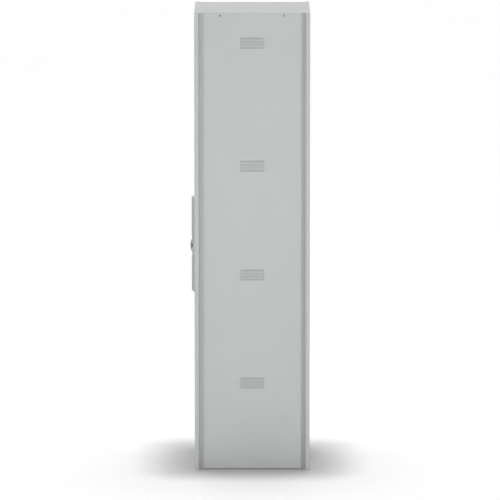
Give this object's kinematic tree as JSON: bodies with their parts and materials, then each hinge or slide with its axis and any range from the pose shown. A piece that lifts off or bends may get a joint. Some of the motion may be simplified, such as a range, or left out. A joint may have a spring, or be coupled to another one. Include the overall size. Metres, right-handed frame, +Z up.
{
  "type": "parcel locker",
  "caption": "Tall sheet-steel parcel locker: stacked compartments with hinged doors, a service duct with bolt locks, a raised control module with knob, and a flat roof.",
  "frame": {"origin": "middle of the overall footprint, on the floor", "axes": "+Z up, -Y out of the doors, +X towards the side of the control module"},
  "size_m": [0.5, 0.518, 2.0015],
  "materials": {
    "cabinet_paint": "light grey satin powder coat",
    "inner_paint": "light grey satin powder coat",
    "door_paint": "light grey satin powder coat",
    "zinc_steel": "bright zinc plate",
    "nylon": "natural nylon",
    "rubber_black": "matte",
    "module_shell": "white satin",
    "display_black": "gloss",
    "circuit_board": "solder mask",
    "scanner_red": "dark red gloss",
    "reader_dark": "fine texture",
    "button_green": "satin",
    "knob_grey": "fine texture",
    "supply_case": "satin",
    "wire_black": "satin",
    "gland_grey": "satin"
  },
  "bodies": {
    "cabinet": {"side_panel_right": "cabinet_paint", "side_panel_left": "cabinet_paint", "rear_panel": "cabinet_paint", "front_post_left": "cabinet_paint", "front_post_right": "cabinet_paint", "rear_post_left": "cabinet_paint", "rear_post_right": "cabinet_paint", "sill_rail": "cabinet_paint", "header_rail": "cabinet_paint", "mullion_rails": "cabinet_paint", "roof_panel": "cabinet_paint", "fascia": "cabinet_paint", "blanking_plugs": "cabinet_paint", "base_tray": "inner_paint", "ceiling_panel": "inner_paint", "duct_side": "inner_paint", "duct_back": "inner_paint", "shelf_1": "inner_paint", "shelf_2": "inner_paint", "shelf_3": "inner_paint", "fascia_screws": "zinc_steel", "hinge_pins": "zinc_steel", "corner_rivets": "zinc_steel", "cover_hinge_leaves": "zinc_steel", "cover_hinge_pins": "zinc_steel", "lock_bodies": "zinc_steel", "hinge_washers": "nylon", "door_buffers": "rubber_black", "levelling_feet": "rubber_black", "control_board": "circuit_board", "power_supply": "supply_case", "wiring_harness": "wire_black", "cable_gland": "gland_grey"},
    "door_1_leaf": {"door_1": "door_paint", "door_stiffener_1": "zinc_steel", "door_striker_1": "zinc_steel"},
    "bolt_1": {"lock_bolt_1": "zinc_steel"},
    "door_2_leaf": {"door_2": "door_paint", "door_stiffener_2": "zinc_steel", "door_striker_2": "zinc_steel"},
    "bolt_2": {"lock_bolt_2": "zinc_steel"},
    "door_3_leaf": {"door_3": "door_paint", "door_stiffener_3": "zinc_steel", "door_striker_3": "zinc_steel"},
    "bolt_3": {"lock_bolt_3": "zinc_steel"},
    "door_4_leaf": {"door_4": "door_paint", "door_stiffener_4": "zinc_steel", "door_striker_4": "zinc_steel"},
    "bolt_4": {"lock_bolt_4": "zinc_steel"},
    "control_cover": {"module_cover": "module_shell", "display_glass": "display_black", "display_board": "circuit_board", "scanner_window": "scanner_red", "reader_pad": "reader_dark", "spindle_housing": "zinc_steel"},
    "turning_knob": {"knob": "knob_grey", "knob_spindle": "zinc_steel", "lock_cam": "zinc_steel", "cam_nut": "zinc_steel"},
    "button": {"wake_button": "button_green"}
  },
  "joints": [
    {"name": "door_1_hinge", "type": "hinge", "parent": "cabinet", "child": "door_1_leaf", "pos_m": [-0.216, -0.236, 0.2635], "axis": [0, 0, -1], "range_deg": [0, 105]},
    {"name": "door_2_hinge", "type": "hinge", "parent": "cabinet", "child": "door_2_leaf", "pos_m": [-0.216, -0.236, 0.7405], "axis": [0, 0, -1], "range_deg": [0, 105]},
    {"name": "door_3_hinge", "type": "hinge", "parent": "cabinet", "child": "door_3_leaf", "pos_m": [-0.216, -0.236, 1.2175], "axis": [0, 0, -1], "range_deg": [0, 105]},
    {"name": "door_4_hinge", "type": "hinge", "parent": "cabinet", "child": "door_4_leaf", "pos_m": [-0.216, -0.236, 1.718], "axis": [0, 0, -1], "range_deg": [0, 105]},
    {"name": "bolt_1_slide", "type": "slide", "parent": "cabinet", "child": "bolt_1", "axis": [-1, 0, 0], "range_m": [0, 0.008]},
    {"name": "bolt_2_slide", "type": "slide", "parent": "cabinet", "child": "bolt_2", "axis": [-1, 0, 0], "range_m": [0, 0.008]},
    {"name": "bolt_3_slide", "type": "slide", "parent": "cabinet", "child": "bolt_3", "axis": [-1, 0, 0], "range_m": [0, 0.008]},
    {"name": "bolt_4_slide", "type": "slide", "parent": "cabinet", "child": "bolt_4", "axis": [-1, 0, 0], "range_m": [0, 0.008]},
    {"name": "cover_hinge", "type": "hinge", "parent": "cabinet", "child": "control_cover", "pos_m": [0.149, -0.244, 0.989], "axis": [0, 0, -1], "range_deg": [0, 90]},
    {"name": "knob_turn", "type": "hinge", "parent": "control_cover", "child": "turning_knob", "pos_m": [0.1945, -0.253, 0.985], "axis": [0, -1, 0], "range_deg": [0, 90]},
    {"name": "button_press", "type": "slide", "parent": "control_cover", "child": "button", "axis": [0, 1, 0], "range_m": [0, 0.002], "stiffness_N_per_m": 300}
  ]
}
